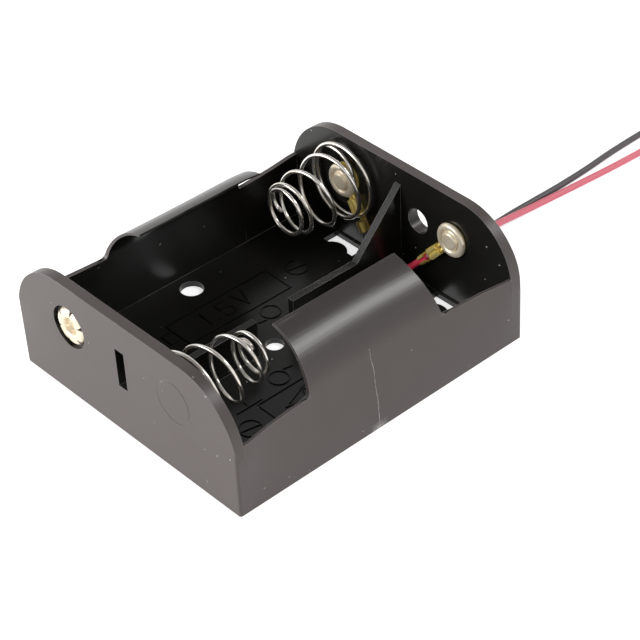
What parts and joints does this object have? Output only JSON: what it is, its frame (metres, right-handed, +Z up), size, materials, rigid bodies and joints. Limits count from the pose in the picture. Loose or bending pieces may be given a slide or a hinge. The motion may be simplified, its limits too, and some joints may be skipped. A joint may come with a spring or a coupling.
{
  "type": "battery holder",
  "caption": "Open moulded tray for side-by-side R14 cells, with curled retaining clips, riveted contacts, coil springs and red and black wire leads.",
  "frame": {"origin": "middle of the tray's underside, on the table; the leads are not counted", "axes": "+X across the bays, +Y along the cells towards the plate that the leads leave, +Z up"},
  "size_m": [0.057, 0.1604, 0.0241],
  "materials": {
    "black_plastic": "moulded black polypropylene, satin, with light scuffs",
    "nickel": "nickel-plated drawn sheet, warm tint",
    "spring_wire": "nickel-plated spring wire",
    "brass": "bright stamped brass",
    "strands": "stranded tinned copper",
    "red_insulation": "soft satin insulation",
    "black_insulation": "soft satin insulation",
    "tin": "solder-dipped strands"
  },
  "bodies": {
    "tray": {"housing": "black_plastic", "rivet_near_left": "nickel", "rivet_far_left": "nickel", "rivet_far_right": "nickel", "lug_red": "brass", "lug_black": "brass", "core_red": "strands", "core_black": "strands", "lead_red": "red_insulation", "lead_black": "black_insulation", "coil_red": "red_insulation", "coil_black": "black_insulation", "tinned_red": "tin", "tinned_black": "tin"},
    "near_coil": {"spring_near": "spring_wire"},
    "far_coil": {"spring_far": "spring_wire"}
  },
  "joints": [
    {"name": "near_spring_press", "type": "slide", "parent": "tray", "child": "near_coil", "axis": [0, -1, 0], "range_m": [0, 0.008], "stiffness_N_per_m": 500, "deforming": ["spring_near"]},
    {"name": "far_spring_press", "type": "slide", "parent": "tray", "child": "far_coil", "axis": [0, 1, 0], "range_m": [0, 0.008], "stiffness_N_per_m": 500, "deforming": ["spring_far"]}
  ]
}
